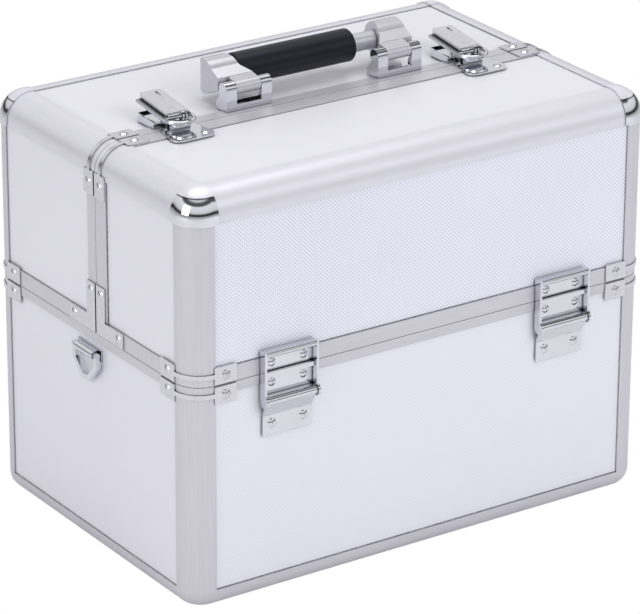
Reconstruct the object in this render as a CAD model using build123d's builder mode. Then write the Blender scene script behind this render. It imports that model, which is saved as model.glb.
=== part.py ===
from build123d import *
import math
import os

os.makedirs("parts", exist_ok=True)

# ---------------------------------------------------------------- overall box
case_w = 370.0          # length along X over the rails
case_d = 250.0          # depth along Y over the rails
base_h = 160.0          # bottom rail to rim of the lower box
lid_h = 133.0           # rim to top of the lids
foot_h = 4.0            # rubber feet
foot_r = 8.0
foot_inset = 30.0
split_gap = 0.4         # gap between lower box and lids
seam_y = -10.0          # where the two lids meet
seam_gap = 0.4

# ---------------------------------------------------------------- sections
corner_r = 18.0         # rounded posts and top edges
bottom_r = 12.0         # rounded bottom edges
wall = 5.0              # rail thickness
lip_t = 1.0             # rail lip over the panel edge
post_lip = 1.2
top_lip = 3.0
bottom_lip = 1.5
panel_t = 3.5
lid_rim = 9.8           # rail height above the split, without lip
base_rim = 5.5
rim_lip = 1.2
seam_rail_front = 11.8
seam_rail_back = 8.8
tongue_t = 1.5          # locating tongue on the base rim
tongue_h = 3.0
tongue_len = 320.0
slip = 0.2              # clearance beside the tongue
shell_gap = 0.05        # clearance under formed corner pieces
plate_t = 1.0           # corner bracket sheet
ball_over = 1.0         # corner piece proud of the rails
ball_tab = 4.0

half_w = case_w / 2
half_d = case_d / 2
cx = half_w - corner_r
cy = half_d - corner_r
z_split = foot_h + base_h
z_lid = z_split + split_gap
z_top = z_lid + lid_h - split_gap
cz = z_top - corner_r
bz = foot_h + bottom_r
bx = half_w - bottom_r
by = half_d - bottom_r
in_w = half_w - lip_t - panel_t      # inner face of the end panels

# ---------------------------------------------------------------- brackets
ear_w = 17.0
ear_h = 12.0
ear_gap = 0.6
strap_w = 3.2
ell_v = 35.0            # L bracket at the foot of the seam
ell_h = 33.0
ell_w = 10.6
rivet_r = 3.5
rivet_h = 1.5

# ---------------------------------------------------------------- lid hinges
hinge_x = 111.0
pin_out = 5.0           # pin axis in front of the face
pin_drop = 18.0         # pin axis below the split
pin_r = 1.5
pin_fit = 0.05
frame_w = 42.0
frame_t = 1.6
frame_out = 6.5
frame_top = 16.6
frame_foot_r = 4.4
leaf_t = 1.2
barrel_r = 3.2
leaf_side = 0.25
screw_x = 12.4
screw_r = 3.0
screw_up = 7.3
screw_down = 6.6
leaf_end = 44.4
rivet_down = 36.0

# ---------------------------------------------------------------- latches
latch_left = -122.0
latch_right = 115.5
lever_w = 17.0
lever_t = 1.5
lever_front = 11.5      # lever front edge, in front of the case middle
lever_back = 23.0
lever_h0 = 10.2         # underside at the front edge
lever_slope = 0.125
lever_gap = 2.0         # side flanges start behind the front edge
flange_t = 1.2
flange_h = 4.0
lever_pin_y = -8.2
lever_pin_h = 6.6
lever_pin_r = 1.3
lever_corner = 2.5      # rounded back corners
lever_top = 20.0        # above everything on the lever
ear_r = 2.8
cheek_r = 2.4
cheek_in = 5.3
cheek_t = 1.5
slot_w = 1.4            # key slot
slot_len = 6.0
slot_y = 17.0
slot_x = 3.0
bail_r = 1.4
bail_x = 10.4
bail_in = 6.8           # inner end of the hooked wire
bail_back_y = 21.0
bail_back_h = 11.4
bail_front_y = -13.0
bail_front_h = 7.6
box_w = 29.0            # channel under the lever
box_front = -5.5
box_back = 18.0
box_h = 5.0
box_t = 1.4
box_floor = 3.4
box_r = 5.0
nose_w = 15.0
nose_h = 5.8
nose_t = 1.8
nose_back = -13.6
nose_front = -20.5
nose_wall = 2.4
catch_t = 1.0
catch_w = 26.0          # at the lid edge
catch_r = 6.2
catch_rivet_x = 10.0
catch_rivet_y = -30.0
catch_head_r = 3.0
catch_head_h = 1.2

# ---------------------------------------------------------------- handle
bracket_x = 61.2
bracket_w = 36.0
bracket_y = 4.8         # front face behind the lid seam
bracket_d = 13.2
bracket_t = 2.0
bracket_bar = 4.6       # height of the bar under the window
window_w = 19.6
knuckle_y = -0.2
knuckle_h = 14.8
knuckle_r = 4.8
knuckle_gap = 0.4
handle_pin_r = 1.6
grip_y = 24.0
grip_h = 17.4
grip_r = 11.5
grip_len = 94.0
grip_shift = -9.0       # the grip has slid to the left end of its neck
grip_round = 1.5
neck_r = 6.4
neck_ring_r = 8.6
neck_ring_w = 2.5
arm_end_r = 12.2
arm_round = 12.0
arm_y0 = 6.0            # where the arm starts behind the knuckle
arm_low = 12.0
arm_high = 21.0
flank_x = 60.0          # inner face of the arm beside the grip
flank_in = 3.4

# ---------------------------------------------------------------- carry rings
ring_w = 31.0
ring_drop = 21.0
ring_side = 9.0         # upright part of the ring
ring_foot = 5.0         # half width of its lower edge
ring_t = 2.6
ring_bar = 4.0
ring_r = 1.8
ring_out = 3.2          # bar in front of the end face
ring_z = 14.0           # ring bar below the split
ring_plate_w = 30.0
ring_plate_h = 8.0
ring_plate_up = 3.4     # plate edge above the bar
ring_sleeve_r = 3.0
ring_sleeve_in = 3.8
ring_plate_t = 1.4
ring_fit = 0.1

# ---------------------------------------------------------------- trays
tray_side = 1.0         # tray end to the arms
tray_w = 100.0
tray_h = 46.0
tray_t = 2.0
tray_s = 12.0           # outer face behind the case face
tray_z = 6.0            # lower tray floor above the split
tray_pitch = 50.0
stud_up = 23.0          # stud above the tray floor
arm_lean = 35.0
arm_r1 = 46.0
arm_gap = 18.0
arm_s = 28.0
arm_w = 9.0
arm_t = 2.5
arm_side = 8.5          # arm inner face inside the end panel
stud_r = 2.4
stud_fit = 0.05
head_r = 4.0
head_t = 1.0
link_side = 5.2         # link outside the arm's inner face
link_t = 1.6
link_len = 55.45
link_turn = 30.4
link_s = 22.2
link_up = 20.0
link_at = 71.94         # link stud along the arm
link_stud_r = 2.2
link_eye = 5.2
link_w = 8.0

arm_x = in_w - arm_side
link_x = arm_x + link_side
tray_len = 2 * (arm_x - tray_side)
lean = math.radians(arm_lean)
arm_r2 = arm_r1 + tray_pitch / math.cos(lean)
arm_z = z_split + tray_z + stud_up - arm_r1 * math.cos(lean)


# ---------------------------------------------------------------- helpers
def block(x0, x1, y0, y1, z0, z1, mode=Mode.ADD):
    middle = ((x0 + x1) / 2, (y0 + y1) / 2, (z0 + z1) / 2)
    with Locations(middle):
        Box(abs(x1 - x0), abs(y1 - y0), abs(z1 - z0), mode=mode)


def edge_bar(origin, out, vert, length, r_out, r_in, lip, lip_depth):
    # quarter tube between the directions out and vert, with flat lips beyond both ends
    along = Vector(*out).cross(Vector(*vert))
    with BuildSketch(Plane(origin, x_dir=out, z_dir=along)) as outline:
        Circle(r_out)
        Circle(r_in, mode=Mode.SUBTRACT)
        Rectangle(r_out, r_out, align=(Align.MIN, Align.MIN), mode=Mode.INTERSECT)
        if lip > 0:
            with Locations((r_out - lip_depth, -lip)):
                Rectangle(lip_depth, lip, align=(Align.MIN, Align.MIN))
            with Locations((-lip, r_out - lip_depth)):
                Rectangle(lip, lip_depth, align=(Align.MIN, Align.MIN))
    extrude(outline.sketch, amount=length)


def post_lips(x, y, z0, z1):
    # short flat lips beside an upright post; x and y are the signed arc centre
    sx = math.copysign(1, x)
    sy = math.copysign(1, y)
    block(x - sx * post_lip, x, sy * (half_d - lip_t), sy * half_d, z0, z1)
    block(sx * (half_w - lip_t), sx * half_w, y - sy * post_lip, y, z0, z1)


def rod(start, direction, radius, length, mode=Mode.ADD):
    with Locations(Plane(start, z_dir=direction)):
        Cylinder(radius, length, align=(Align.CENTER, Align.CENTER, Align.MIN), mode=mode)


def dome(start, direction, radius, height):
    # low domed head standing on a face
    ball = (radius * radius + height * height) / (2 * height)
    base = Plane(start, z_dir=direction)
    side = Plane(start, x_dir=base.x_dir, z_dir=base.y_dir * -1)
    mid = math.sqrt(ball * ball - radius * radius / 4) - (ball - height)
    with BuildSketch(side) as outline:
        with BuildLine():
            Line((0, 0), (radius, 0))
            ThreePointArc((radius, 0), (radius / 2, mid), (0, height))
            Line((0, height), (0, 0))
        make_face()
    revolve(outline.sketch, axis=Axis(start, direction))


# ================================================================ lower box
panel_out = half_d - lip_t
end_out = half_w - lip_t
base_panel_top = z_split - base_rim

with BuildPart() as bottom_panel:
    block(-bx, bx, -by, by, foot_h + lip_t, foot_h + lip_t + panel_t)
    for sx in (-1, 1):
        for sy in (-1, 1):
            block(sx * cx, sx * (bx + 1), sy * cy, sy * (by + 1), 0, bz, mode=Mode.SUBTRACT)
bottom_panel.part.label = "bottom_panel"
export_step(bottom_panel.part, "parts/bottom_panel.step")

with BuildPart() as base_front_panel:
    block(-cx, cx, -panel_out, -panel_out + panel_t, bz, base_panel_top)
base_front_panel.part.label = "base_front_panel"
export_step(base_front_panel.part, "parts/base_front_panel.step")

with BuildPart() as base_back_panel:
    block(-cx, cx, panel_out - panel_t, panel_out, bz, base_panel_top)
base_back_panel.part.label = "base_back_panel"
export_step(base_back_panel.part, "parts/base_back_panel.step")

with BuildPart() as base_end_panels:
    block(in_w, end_out, -cy, cy, bz, base_panel_top)
    mirror(about=Plane.YZ)
base_end_panels.part.label = "base_end_panels"
export_step(base_end_panels.part, "parts/base_end_panels.step")

with BuildPart() as base_posts:
    for sx, sy in ((1, 1), (-1, -1)):
        edge_bar((sx * cx, sy * cy, bz), (sx, 0, 0), (0, sy, 0), z_split - bz,
                 corner_r, corner_r - wall, 0, 0)
        post_lips(sx * cx, sy * cy, bz + bottom_lip, z_split)
    mirror(about=Plane.YZ)
base_posts.part.label = "base_posts"
export_step(base_posts.part, "parts/base_posts.step")

with BuildPart() as bottom_rails:
    edge_bar((-cx, -by, bz), (0, -1, 0), (0, 0, -1), 2 * cx,
             bottom_r, bottom_r - wall, bottom_lip, lip_t)
    edge_bar((cx, by, bz), (0, 1, 0), (0, 0, -1), 2 * cx,
             bottom_r, bottom_r - wall, bottom_lip, lip_t)
    edge_bar((-bx, cy, bz), (-1, 0, 0), (0, 0, -1), 2 * cy,
             bottom_r, bottom_r - wall, bottom_lip, lip_t)
    edge_bar((bx, -cy, bz), (1, 0, 0), (0, 0, -1), 2 * cy,
             bottom_r, bottom_r - wall, bottom_lip, lip_t)
bottom_rails.part.label = "bottom_rails"
export_step(bottom_rails.part, "parts/bottom_rails.step")

with BuildPart() as bottom_corners:
    with BuildSketch(Plane((cx, cy, foot_h))):
        Circle(corner_r)
        Rectangle(corner_r, corner_r, align=(Align.MIN, Align.MIN), mode=Mode.INTERSECT)
    extrude(amount=bottom_r)
    fillet(bottom_corners.edges().filter_by(GeomType.CIRCLE).sort_by(Axis.Z)[0], bottom_r - 0.01)
    with BuildSketch(Plane((cx, cy, foot_h + wall))):
        Circle(corner_r - wall)
        Rectangle(corner_r, corner_r, align=(Align.MIN, Align.MIN), mode=Mode.INTERSECT)
    extrude(amount=bottom_r, mode=Mode.SUBTRACT)
    mirror(about=Plane.YZ)
    mirror(about=Plane.XZ)
bottom_corners.part.label = "bottom_corners"
export_step(bottom_corners.part, "parts/bottom_corners.step")

with BuildPart() as base_rim_rails:
    rim_x = cx - post_lip
    rim_y = cy - post_lip
    block(-rim_x, rim_x, -half_d, -half_d + wall, base_panel_top, z_split)
    block(-rim_x, rim_x, -half_d, -half_d + lip_t, base_panel_top - rim_lip, base_panel_top)
    inner = -half_d + wall + slip
    block(-tongue_len / 2, tongue_len / 2, -half_d + wall, inner + tongue_t,
          base_panel_top, z_split - slip)
    block(-tongue_len / 2, tongue_len / 2, inner, inner + tongue_t,
          z_split - slip, z_split + tongue_h)
    mirror(about=Plane.XZ)
    for sx in (-1, 1):
        block(sx * (half_w - wall), sx * half_w, -rim_y, rim_y, base_panel_top, z_split)
        block(sx * end_out, sx * half_w, -rim_y, rim_y, base_panel_top - rim_lip, base_panel_top)
base_rim_rails.part.label = "base_rim_rails"
export_step(base_rim_rails.part, "parts/base_rim_rails.step")

with BuildPart() as feet:
    foot_x = half_w - foot_inset
    foot_y = half_d - foot_inset
    for sx in (-1, 1):
        for sy in (-1, 1):
            with BuildSketch(Plane((sx * foot_x, sy * foot_y, 0))):
                Circle(foot_r)
            extrude(amount=foot_h + lip_t, taper=-4)
feet.part.label = "feet"
export_step(feet.part, "parts/feet.step")

# ---------------------------------------------------------------- corner brackets
ear_x = cx - ear_w / 2              # rivet distance from the middle
ear_y = cy - ear_w / 2
base_ear_z = z_split - ear_gap - ear_h / 2
lid_ear_z = z_lid + ear_gap + ear_h / 2


def post_wrap(sx, sy, z):
    # two ears joined by a strap round an upright corner
    block(sx * (cx - ear_w), sx * cx, sy * half_d, sy * (half_d + plate_t),
          z - ear_h / 2, z + ear_h / 2)
    block(sx * half_w, sx * (half_w + plate_t), sy * (cy - ear_w), sy * cy,
          z - ear_h / 2, z + ear_h / 2)
    step = strap_w if sx * sy > 0 else -strap_w
    edge_bar((sx * cx, sy * cy, z - step / 2), (sx, 0, 0), (0, sy, 0), strap_w,
             corner_r + plate_t, corner_r + shell_gap, 0, 0)


with BuildPart() as base_brackets:
    for sx in (-1, 1):
        for sy in (-1, 1):
            post_wrap(sx, sy, base_ear_z)
base_brackets.part.label = "base_brackets"
export_step(base_brackets.part, "parts/base_brackets.step")

# arm studs stand on the inside of the end panels
arm_feet = (arm_s, arm_s + arm_gap)
arm_shoulder = 3.0

with BuildPart() as base_rivets:
    for sx in (-1, 1):
        for sy in (-1, 1):
            dome((sx * ear_x, sy * (half_d + plate_t), base_ear_z), (0, sy, 0), rivet_r, rivet_h)
            dome((sx * (half_w + plate_t), sy * ear_y, base_ear_z), (sx, 0, 0), rivet_r, rivet_h)
            for foot in arm_feet:
                y = sy * (half_d - foot)
                rod((sx * (arm_x + arm_t + slip), y, arm_z), (sx, 0, 0),
                    arm_shoulder, in_w - arm_x - arm_t - slip)
                rod((sx * (arm_x - slip), y, arm_z), (sx, 0, 0), stud_r, arm_t + 2 * slip)
                rod((sx * (arm_x - slip - head_t), y, arm_z), (sx, 0, 0), head_r, head_t)
base_rivets.part.label = "base_rivets"
export_step(base_rivets.part, "parts/base_rivets.step")


# ================================================================ lids
def lid_edge(side):
    return seam_y + side * seam_gap / 2


def lid_front_panel(side):
    y = side * panel_out
    block(-cx, cx, y, y - side * panel_t, z_lid + lid_rim, cz)


def lid_top_panel(side, rail):
    block(-cx, cx, side * cy, lid_edge(side) + side * rail,
          z_top - lip_t - panel_t, z_top - lip_t)


def lid_end_panels(side, rail):
    for sx in (-1, 1):
        block(sx * in_w, sx * end_out, side * cy, lid_edge(side) + side * rail,
              z_lid + lid_rim, cz)


def lid_edge_rails(side):
    # long rounded rail, then the two short ones up to the seam
    edge_bar((-side * cx, side * cy, cz), (0, side, 0), (0, 0, 1), 2 * cx,
             corner_r, corner_r - wall, 0, 0)
    lip_x = cx - slip
    block(-lip_x, lip_x, side * (cy - top_lip), side * cy, z_top - lip_t, z_top)
    block(-cx, cx, side * panel_out, side * half_d, cz - top_lip, cz)
    run = abs(side * cy - lid_edge(side))
    for sx in (-1, 1):
        start = side * cy if sx == side else lid_edge(side)
        edge_bar((sx * cx, start, cz), (sx, 0, 0), (0, 0, 1), run,
                 corner_r, corner_r - wall, 0, 0)
        inner = side * (cy - top_lip - slip)
        block(sx * (cx - top_lip), sx * cx, inner, lid_edge(side), z_top - lip_t, z_top)
        block(sx * end_out, sx * half_w, side * cy, lid_edge(side), cz - top_lip, cz)


def lid_posts(side):
    for sx in (-1, 1):
        up = sx * side > 0
        edge_bar((sx * cx, side * cy, z_lid if up else cz), (sx, 0, 0), (0, side, 0), cz - z_lid,
                 corner_r, corner_r - wall, 0, 0)
        post_lips(sx * cx, side * cy, z_lid, cz - top_lip)


def lid_corners(side):
    # ball shaped corner shell with three tabs over the rails and the post
    r_out = corner_r + ball_over
    r_in = corner_r + shell_gap
    reach = corner_r + ball_tab
    for sx in (-1, 1):
        same = sx * side > 0
        x = sx * cx
        y = side * cy
        with Locations(Plane((x, y, cz), x_dir=(-sx, -side, -1), z_dir=(sx, -side, 0))):
            Sphere(r_out)
            Sphere(corner_r - wall, mode=Mode.SUBTRACT)
        block(x - sx * reach, x, y - reach, y + reach, cz - reach, cz + reach, mode=Mode.SUBTRACT)
        block(x - reach, x + reach, y - side * reach, y, cz - reach, cz + reach,
              mode=Mode.SUBTRACT)
        block(x - reach, x + reach, y - reach, y + reach, cz - reach, cz, mode=Mode.SUBTRACT)
        edge_bar((x, y, cz - ball_tab if same else cz),
                 (sx, 0, 0), (0, side, 0), ball_tab, r_out, r_in, post_lip, r_out - r_in)
        edge_bar((x - sx * ball_tab if same else x, y, cz),
                 (0, side, 0), (0, 0, 1), ball_tab, r_out, r_in, top_lip, r_out - r_in)
        edge_bar((x, y if same else y - side * ball_tab, cz),
                 (sx, 0, 0), (0, 0, 1), ball_tab, r_out, r_in, top_lip, r_out - r_in)


def lid_rim_rails(side, rail):
    rim_x = cx - post_lip
    top = z_lid + lid_rim
    block(-rim_x, rim_x, side * half_d, side * (half_d - wall), z_lid, top)
    block(-rim_x, rim_x, side * half_d, side * (half_d - lip_t), top, top + rim_lip)
    for sx in (-1, 1):
        block(sx * half_w, sx * (half_w - wall), side * (cy - post_lip), lid_edge(side), z_lid, top)
        block(sx * half_w, sx * end_out, side * (cy - post_lip),
              lid_edge(side) + side * (rail + rim_lip), top, top + rim_lip)


def lid_seam_rails(side, rail):
    edge = lid_edge(side)
    top_x = cx - top_lip
    block(-top_x, top_x, edge, edge + side * rail, z_top - wall, z_top)
    block(-top_x, top_x, edge + side * rail, edge + side * (rail + rim_lip), z_top - lip_t, z_top)
    for sx in (-1, 1):
        block(sx * half_w, sx * (half_w - wall), edge, edge + side * rail,
              z_lid + lid_rim, cz - top_lip)
        block(sx * half_w, sx * end_out, edge + side * rail, edge + side * (rail + rim_lip),
              z_lid + lid_rim, cz - top_lip)


def lid_brackets(side):
    edge = lid_edge(side)
    for sx in (-1, 1):
        post_wrap(sx, side, lid_ear_z)
        # wrap over the rounded top edge beside the seam
        y0 = edge + side * ear_gap
        y1 = y0 + side * ear_h
        block(sx * (cx - ear_w), sx * cx, y0, y1, z_top, z_top + plate_t)
        block(sx * half_w, sx * (half_w + plate_t), y0, y1, cz - ear_w, cz)
        mid = (y0 + y1) / 2
        edge_bar((sx * cx, mid + sx * strap_w / 2, cz), (sx, 0, 0), (0, 0, 1), strap_w,
                 corner_r + plate_t, corner_r + shell_gap, 0, 0)
        # L bracket at the foot of the seam
        y2 = edge + side * ear_gap
        z2 = z_lid + ear_gap
        block(sx * half_w, sx * (half_w + plate_t), y2, y2 + side * ell_w, z2, z2 + ell_v)
        block(sx * half_w, sx * (half_w + plate_t), y2 + side * ell_w, y2 + side * ell_h,
              z2, z2 + ell_w)


def lid_rivets(side):
    edge = lid_edge(side)
    wrap_y = edge + side * (ear_gap + ear_h / 2)
    for sx in (-1, 1):
        face = sx * (half_w + plate_t)
        dome((sx * ear_x, side * (half_d + plate_t), lid_ear_z), (0, side, 0), rivet_r, rivet_h)
        dome((face, side * ear_y, lid_ear_z), (sx, 0, 0), rivet_r, rivet_h)
        dome((sx * ear_x, wrap_y, z_top + plate_t), (0, 0, 1), rivet_r, rivet_h)
        dome((face, wrap_y, cz - ear_w / 2), (sx, 0, 0), rivet_r, rivet_h)
        dome((face, edge + side * (ear_gap + ell_w / 2), z_lid + ell_v - ell_w / 2),
             (sx, 0, 0), rivet_r, rivet_h)
        dome((face, edge + side * (ell_h - ell_w / 2), z_lid + ear_gap + ell_w / 2),
             (sx, 0, 0), rivet_r, rivet_h)
        # stud for the tray link, on the inside of the end panel
        stud = side * (half_d - link_s)
        inside = link_x + link_t + slip
        rod((sx * inside, stud, z_split + link_up), (sx, 0, 0), head_r, in_w - inside)
        rod((sx * (link_x - slip), stud, z_split + link_up), (sx, 0, 0),
            link_stud_r, link_t + 2 * slip)
        rod((sx * (link_x - slip - 0.6), stud, z_split + link_up), (sx, 0, 0), head_r, 0.6)


def hinge_frames(side):
    # open chrome frame fixed to the lid, with its feet on the pin
    face = half_d
    pin_y = face + pin_out
    pin_z = z_split - pin_drop
    for sx in (-1, 1):
        mid = sx * hinge_x
        for end in (-1, 1):
            a = mid + end * (frame_w / 2 - frame_t)
            b = mid + end * frame_w / 2
            block(a, b, side * (face + 0.4), side * (face + frame_out), pin_z, z_split)
            block(a, b, side * face, side * (face + frame_out), z_split + 1, z_split + frame_top)
            block(a, b, side * (face + 0.4), side * (face + frame_out), z_split, z_split + 1)
            rod((min(a, b), side * pin_y, pin_z), (1, 0, 0), frame_foot_r, frame_t)
            rod((min(a, b) - 1, side * pin_y, pin_z), (1, 0, 0), pin_r + pin_fit, frame_t + 2,
                mode=Mode.SUBTRACT)
        low = mid - frame_w / 2
        high = mid + frame_w / 2
        # rolled lip at the top, and the bar at the split
        block(low, high, side * face, side * (face + frame_out - 2), z_split + frame_top - 1.6,
              z_split + frame_top)
        rod((low, side * (face + frame_out - 2), z_split + frame_top - 2), (1, 0, 0), 2, frame_w)
        block(low, high, side * (face + 2.4), side * (face + 4.4), z_split - 1.4, z_split + 1.6)
        # plate with two screws in the upper window
        block(low + frame_t, high - frame_t, side * face, side * (face + 1.2),
              z_lid + 0.8, z_split + frame_top - 1.6)
        for end in (-1, 1):
            dome((mid + end * screw_x, side * (face + 1.2), z_split + screw_up), (0, side, 0),
                 screw_r, 1.3)


def hinge_leaves(side):
    # formed sheet fixed to the lower box: upper plate, shelf, barrel, flap, lower plate
    face = half_d
    pin_z = z_split - pin_drop
    half = frame_w / 2 - frame_t - leaf_side
    for sx in (-1, 1):
        low = sx * hinge_x - half
        width = 2 * half
        shelf = pin_z + barrel_r - leaf_t
        block(low, low + width, side * face, side * (face + leaf_t), shelf, z_split - 1.8)
        block(low, low + width, side * face, side * (face + pin_out), shelf, shelf + leaf_t)
        rod((low, side * (face + pin_out), pin_z), (1, 0, 0), barrel_r, width)
        end_z = pin_z - 12
        with BuildSketch(Plane((low, 0, 0), x_dir=(0, side, 0), z_dir=(side, 0, 0))) as outline:
            with BuildLine():
                Polyline((face, end_z), (face, end_z + 1.6), (face + pin_out, pin_z - 1.0),
                         (face + pin_out + 1.2, pin_z - barrel_r + 0.4), (face + 1.2, end_z),
                         (face, end_z))
            make_face()
        extrude(outline.sketch, amount=side * width)
        block(low, low + width, side * face, side * (face + leaf_t),
              z_split - leaf_end, end_z + 0.8)
        rod((low - 1, side * (face + pin_out), pin_z), (1, 0, 0), pin_r, width + 2,
            mode=Mode.SUBTRACT)
        for end in (-1, 1):
            x = sx * hinge_x + end * screw_x
            dome((x, side * (face + leaf_t), z_split - screw_down), (0, side, 0), screw_r, 1.3)
            dome((x, side * (face + leaf_t), z_split - rivet_down), (0, side, 0), rivet_r, rivet_h)


with BuildPart() as front_hinge_leaves:
    hinge_leaves(-1)
front_hinge_leaves.part.label = "front_hinge_leaves"
export_step(front_hinge_leaves.part, "parts/front_hinge_leaves.step")

with BuildPart() as back_hinge_leaves:
    hinge_leaves(1)
back_hinge_leaves.part.label = "back_hinge_leaves"
export_step(back_hinge_leaves.part, "parts/back_hinge_leaves.step")

with BuildPart() as hinge_pins:
    for sx in (-1, 1):
        for sy in (-1, 1):
            rod((sx * hinge_x - frame_w / 2, sy * (half_d + pin_out), z_split - pin_drop),
                (1, 0, 0), pin_r, frame_w)
hinge_pins.part.label = "hinge_pins"
export_step(hinge_pins.part, "parts/hinge_pins.step")

# ---------------------------------------------------------------- front lid
with BuildPart() as front_lid_front_panel:
    lid_front_panel(-1)
front_lid_front_panel.part.label = "front_lid_front_panel"
export_step(front_lid_front_panel.part, "parts/front_lid_front_panel.step")

with BuildPart() as front_lid_top_panel:
    lid_top_panel(-1, seam_rail_front)
front_lid_top_panel.part.label = "front_lid_top_panel"
export_step(front_lid_top_panel.part, "parts/front_lid_top_panel.step")

with BuildPart() as front_lid_end_panels:
    lid_end_panels(-1, seam_rail_front)
front_lid_end_panels.part.label = "front_lid_end_panels"
export_step(front_lid_end_panels.part, "parts/front_lid_end_panels.step")

with BuildPart() as front_lid_edge_rails:
    lid_edge_rails(-1)
front_lid_edge_rails.part.label = "front_lid_edge_rails"
export_step(front_lid_edge_rails.part, "parts/front_lid_edge_rails.step")

with BuildPart() as front_lid_posts:
    lid_posts(-1)
front_lid_posts.part.label = "front_lid_posts"
export_step(front_lid_posts.part, "parts/front_lid_posts.step")

with BuildPart() as front_lid_corners:
    lid_corners(-1)
front_lid_corners.part.label = "front_lid_corners"
export_step(front_lid_corners.part, "parts/front_lid_corners.step")

with BuildPart() as front_lid_rim_rails:
    lid_rim_rails(-1, seam_rail_front)
front_lid_rim_rails.part.label = "front_lid_rim_rails"
export_step(front_lid_rim_rails.part, "parts/front_lid_rim_rails.step")

with BuildPart() as front_lid_seam_rails:
    lid_seam_rails(-1, seam_rail_front)
front_lid_seam_rails.part.label = "front_lid_seam_rails"
export_step(front_lid_seam_rails.part, "parts/front_lid_seam_rails.step")

with BuildPart() as front_lid_brackets:
    lid_brackets(-1)
front_lid_brackets.part.label = "front_lid_brackets"
export_step(front_lid_brackets.part, "parts/front_lid_brackets.step")

with BuildPart() as front_lid_rivets:
    lid_rivets(-1)
front_lid_rivets.part.label = "front_lid_rivets"
export_step(front_lid_rivets.part, "parts/front_lid_rivets.step")

with BuildPart() as front_hinge_frames:
    hinge_frames(-1)
front_hinge_frames.part.label = "front_hinge_frames"
export_step(front_hinge_frames.part, "parts/front_hinge_frames.step")

# ---------------------------------------------------------------- back lid
with BuildPart() as back_lid_back_panel:
    lid_front_panel(1)
back_lid_back_panel.part.label = "back_lid_back_panel"
export_step(back_lid_back_panel.part, "parts/back_lid_back_panel.step")

with BuildPart() as back_lid_top_panel:
    lid_top_panel(1, seam_rail_back)
back_lid_top_panel.part.label = "back_lid_top_panel"
export_step(back_lid_top_panel.part, "parts/back_lid_top_panel.step")

with BuildPart() as back_lid_end_panels:
    lid_end_panels(1, seam_rail_back)
back_lid_end_panels.part.label = "back_lid_end_panels"
export_step(back_lid_end_panels.part, "parts/back_lid_end_panels.step")

with BuildPart() as back_lid_edge_rails:
    lid_edge_rails(1)
back_lid_edge_rails.part.label = "back_lid_edge_rails"
export_step(back_lid_edge_rails.part, "parts/back_lid_edge_rails.step")

with BuildPart() as back_lid_posts:
    lid_posts(1)
back_lid_posts.part.label = "back_lid_posts"
export_step(back_lid_posts.part, "parts/back_lid_posts.step")

with BuildPart() as back_lid_corners:
    lid_corners(1)
back_lid_corners.part.label = "back_lid_corners"
export_step(back_lid_corners.part, "parts/back_lid_corners.step")

with BuildPart() as back_lid_rim_rails:
    lid_rim_rails(1, seam_rail_back)
back_lid_rim_rails.part.label = "back_lid_rim_rails"
export_step(back_lid_rim_rails.part, "parts/back_lid_rim_rails.step")

with BuildPart() as back_lid_seam_rails:
    lid_seam_rails(1, seam_rail_back)
back_lid_seam_rails.part.label = "back_lid_seam_rails"
export_step(back_lid_seam_rails.part, "parts/back_lid_seam_rails.step")

with BuildPart() as back_lid_brackets:
    lid_brackets(1)
back_lid_brackets.part.label = "back_lid_brackets"
export_step(back_lid_brackets.part, "parts/back_lid_brackets.step")

with BuildPart() as back_lid_rivets:
    lid_rivets(1)
back_lid_rivets.part.label = "back_lid_rivets"
export_step(back_lid_rivets.part, "parts/back_lid_rivets.step")

with BuildPart() as back_hinge_frames:
    hinge_frames(1)
back_hinge_frames.part.label = "back_hinge_frames"
export_step(back_hinge_frames.part, "parts/back_hinge_frames.step")

# ================================================================ latches
with BuildPart() as catches:
    for x in (latch_left, latch_right):
        y = lid_edge(-1)
        tip_y = catch_rivet_y
        # plate with two rivet ears
        with BuildSketch(Plane((x, 0, z_top))):
            with BuildLine():
                Polyline((-catch_w / 2, y), (catch_w / 2, y), (catch_rivet_x + catch_r, tip_y),
                         (catch_rivet_x, tip_y - catch_r), (-catch_rivet_x, tip_y - catch_r),
                         (-catch_rivet_x - catch_r, tip_y), (-catch_w / 2, y))
            make_face()
            with Locations((-catch_rivet_x, tip_y), (catch_rivet_x, tip_y)):
                Circle(catch_r)
        extrude(amount=catch_t)
        # upright wall and rounded nose
        block(x - nose_w / 2, x + nose_w / 2, nose_back - nose_wall, nose_back, z_top,
              z_top + nose_h)
        with BuildSketch(Plane((x, 0, z_top + nose_h - nose_t))) as outline:
            nose_len = nose_back - nose_front
            with Locations((0, (nose_back + nose_front) / 2)):
                Rectangle(nose_w, nose_len)
            fillet(outline.vertices().group_by(Axis.Y)[0], nose_len * 0.7)
        extrude(amount=nose_t)
        for end in (-1, 1):
            dome((x + end * catch_rivet_x, tip_y, z_top + catch_t), (0, 0, 1),
                 catch_head_r, catch_head_h)
catches.part.label = "catches"
export_step(catches.part, "parts/catches.step")

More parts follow.
